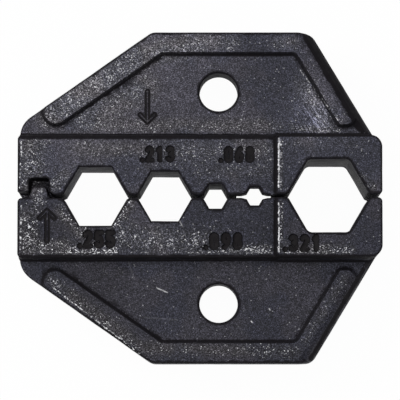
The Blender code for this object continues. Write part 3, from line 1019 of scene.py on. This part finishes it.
def skin_level(b, place, grain, blotch, cloud, rubbed):
    """How much lighter than its base the skin is, in powers of two."""
    level = b.around(grain, NOISE_MIDDLE, GRAIN_CONTRAST)
    level = b.plus(level, b.around(b.cells(place, SPECKLE_SIZE), NOISE_MIDDLE, SPECKLE_CONTRAST))
    level = b.times(level, b.band(rubbed, *GRAIN_WHERE_RUBBED))
    level = b.plus(level, b.around(blotch, NOISE_MIDDLE, BLOTCH_CONTRAST))
    level = b.plus(level, b.around(cloud, NOISE_MIDDLE, CLOUD_CONTRAST))
    # Brushed streaks, their sheen painted into the level
    brush = b.noise(b.drawn_out(place, BRUSH_ANGLE, BRUSH_LENGTH), *BRUSH)
    return b.plus(level, b.times(b.around(brush, BRUSH_MIDDLE, BRUSH_CONTRAST), b.attribute("brushed")))


def skin_colour(b, base, level, cloud, rubbed):
    """Base colour at its level, scaled by the painted light and shade of the tone map, bluer in the dark
    clouds and warmer where it is worn.
    """
    scaled = b.nodes.new("ShaderNodeVectorMath")
    scaled.operation = 'SCALE'
    scaled.inputs[0].default_value = base
    # Painted light and shade: the tone map lightens and darkens broad places
    b.put(scaled.inputs["Scale"], b.times(b.math('POWER', 2.0, level), b.attribute("tone")))
    colour = scaled.outputs["Vector"]
    colour = b.mix(b.band(cloud, *CLOUD_RAMP), colour, b.tinted(colour, CLOUD_TINT))
    return b.mix(b.band(rubbed, *WORN_RAMP), colour, b.tinted(colour, WORN_TINT))


def with_flecks(b, colour, place, blotch, rubbed):
    """Colour with bright specks, partly painted sparkle, and hairlines, most of them where the skin is
    worn.
    """
    # Bright specks: wear, and painted sparkle of grains catching the light
    spark = b.math('GREATER_THAN', b.cells(place, FLECK_SIZE), b.band(rubbed, *FLECK_BOUND))
    spark = b.times(spark, b.band(blotch, *FLECK_PATCHES))
    colour = b.mix(b.times(spark, b.band(rubbed, *FLECK_SHARE)), colour, FLECK_COLOUR)
    for angle in HAIR_ANGLES:
        hair = b.cells(b.drawn_out(place, angle, HAIR_LENGTH), HAIR_SIZE)
        hair = b.times(b.math('GREATER_THAN', hair, HAIR_COMMON), b.band(blotch, *HAIR_PATCHES))
        colour = b.mix(b.times(hair, b.band(rubbed, *HAIR_SHARE)), colour, FLECK_COLOUR)
    return colour


def with_lines(b, colour, place, blotch):
    """Colour with painted glints on edges, scratches and engraved marks."""
    uneven = b.noise(place, *UNEVEN)
    # Painted highlights: bright lines along edges that catch the light
    glint = b.attribute("glint")
    lifted = b.plus(uneven, b.around(glint, 1.0, GLINT_LIFT))
    glint_highlight = b.times(b.math('MINIMUM', glint, 1.0), b.band(lifted, *GLINT_RAMP))
    colour = b.mix(b.times(glint_highlight, b.band(blotch, *GLINT_PATCHES)), colour, GLINT_COLOUR)
    scratch = b.attribute("scratch")
    bright = b.times(b.math('MAXIMUM', scratch, 0.0), b.band(uneven, *SCRATCH_RAMP))
    colour = b.mix(bright, colour, GLINT_COLOUR)
    colour = b.mix(b.math('MAXIMUM', b.times(scratch, -1.0), 0.0), colour, BLACK)
    return b.mix(b.times(b.attribute("engraved"), ENGRAVED_STRENGTH), colour, ENGRAVED_BLACK)


def black_oxide(name, base):
    """Blackened cast steel: fine grain, bright specks partly painted as sparkle, painted glints on edges
    and painted shade in creases and on walls.
    """
    material, nodes, links = new_material(name)
    b = Builder(nodes, links)
    place = nodes.new("ShaderNodeTexCoord").outputs["Object"]
    grain = b.noise(place, *GRAIN)
    blotch = b.noise(place, *BLOTCH)
    cloud = b.noise(place, *CLOUD)
    rubbed = b.attribute("rubbed")
    # Painted shade: the dark map mixes black into creases, along edges, in bands and on walls, and roughens
    # them
    shade_cover = b.times(b.attribute("dark"), SHADE_STRENGTH)
    level = skin_level(b, place, grain, blotch, cloud, rubbed)
    colour = with_flecks(b, skin_colour(b, base, level, cloud, rubbed), place, blotch, rubbed)
    colour = with_lines(b, b.mix(shade_cover, colour, BLACK), place, blotch)
    shader = nodes.new("ShaderNodeBsdfPrincipled")
    b.put(shader.inputs["Base Color"], colour)
    shader.inputs["Metallic"].default_value = METALLIC
    shader.inputs["Specular IOR Level"].default_value = SPECULAR
    b.put(shader.inputs["Roughness"], b.plus(b.band(blotch, *ROUGHNESS), b.times(shade_cover, SHADE_ROUGHNESS)))
    bump = nodes.new("ShaderNodeBump")
    bump.inputs["Strength"].default_value = BUMP_STRENGTH
    bump.inputs["Distance"].default_value = BUMP_DISTANCE
    b.put(bump.inputs["Height"], b.plus(b.times(grain, GRAIN_RELIEF), b.noise(place, *PITS)))
    b.put(shader.inputs["Normal"], bump.outputs["Normal"])
    output = nodes.new("ShaderNodeOutputMaterial")
    b.put(output.inputs["Surface"], shader.outputs["BSDF"])
    return material


def floor():
    """White floor that shows white to the camera and keeps a pale shadow."""
    half = FLOOR_SIZE / 2
    mesh = bpy.data.meshes.new("floor")
    corners = [(x * half, y * half, FLOOR_HEIGHT) for x, y in ((-1, -1), (1, -1), (1, 1), (-1, 1))]
    mesh.from_pydata(corners, [], [(0, 1, 2, 3)])
    plane = bpy.data.objects.new("floor", mesh)
    bpy.context.collection.objects.link(plane)
    material, nodes, links = new_material("floor_white")
    b = Builder(nodes, links)
    path = nodes.new("ShaderNodeLightPath")
    seen = b.math('MAXIMUM', path.outputs["Is Camera Ray"], path.outputs["Is Glossy Ray"])
    seen = b.math('MAXIMUM', seen, path.outputs["Is Transmission Ray"])
    matt = nodes.new("ShaderNodeBsdfDiffuse")
    matt.inputs["Color"].default_value = FLOOR_GREY
    glow = nodes.new("ShaderNodeEmission")
    glow.inputs["Color"].default_value = WHITE
    blend = nodes.new("ShaderNodeMixShader")
    b.put(blend.inputs[0], b.times(seen, FLOOR_GLOW))
    b.put(blend.inputs[1], matt.outputs[0])
    b.put(blend.inputs[2], glow.outputs[0])
    b.put(nodes.new("ShaderNodeOutputMaterial").inputs["Surface"], blend.outputs[0])
    mesh.materials.append(material)


def area_light(name, place, aim, size, power):
    """Square soft box that looks at a point."""
    data = bpy.data.lights.new(name, 'AREA')
    data.size = size
    data.energy = power
    lamp = bpy.data.objects.new(name, data)
    lamp.location = place
    lamp.rotation_euler = (Vector(aim) - Vector(place)).to_track_quat('-Z', 'Y').to_euler()
    bpy.context.collection.objects.link(lamp)


def lights():
    """Two soft boxes, one at the upper left and one overhead, in an evenly lit world."""
    world = bpy.data.worlds.new("studio")
    world.use_nodes = True
    world.node_tree.nodes["Background"].inputs["Color"].default_value = WHITE
    world.node_tree.nodes["Background"].inputs["Strength"].default_value = WORLD_LIGHT
    bpy.context.scene.world = world
    for name, place, size, power in LAMPS:
        area_light(name, place, (0, 0, 0), size, power)


def camera():
    """Long lens almost straight above the parting line, tipped to look from a little below."""
    data = bpy.data.cameras.new("camera")
    data.lens = LENS
    data.sensor_width = SENSOR
    data.clip_start, data.clip_end = CAMERA_RANGE
    view = Vector((-math.tan(CAMERA_YAW), math.tan(CAMERA_PITCH), -1)).normalized()
    back = -view
    right = Vector((1, 0, 0))
    right = (right - back * right.dot(back)).normalized()
    up = back.cross(right)
    rig = bpy.data.objects.new("camera", data)
    turn = Matrix((right, up, back)).transposed().to_4x4()
    rig.matrix_world = Matrix.Translation(CAMERA_TARGET - view * CAMERA_DISTANCE) @ turn
    bpy.context.collection.objects.link(rig)
    bpy.context.scene.camera = rig


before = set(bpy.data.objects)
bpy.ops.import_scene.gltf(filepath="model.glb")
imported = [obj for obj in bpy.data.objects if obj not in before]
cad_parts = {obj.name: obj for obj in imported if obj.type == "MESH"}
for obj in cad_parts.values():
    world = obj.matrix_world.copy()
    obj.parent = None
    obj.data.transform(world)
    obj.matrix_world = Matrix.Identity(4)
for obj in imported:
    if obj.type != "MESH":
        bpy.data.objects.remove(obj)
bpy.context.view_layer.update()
for body, seed, slot, base in HALVES:
    half = dressed_half(body + "_cast", body, seed)
    half.data.materials.append(black_oxide(slot, base))
floor()
lights()
camera()
bpy.context.scene.view_settings.view_transform = 'Standard'
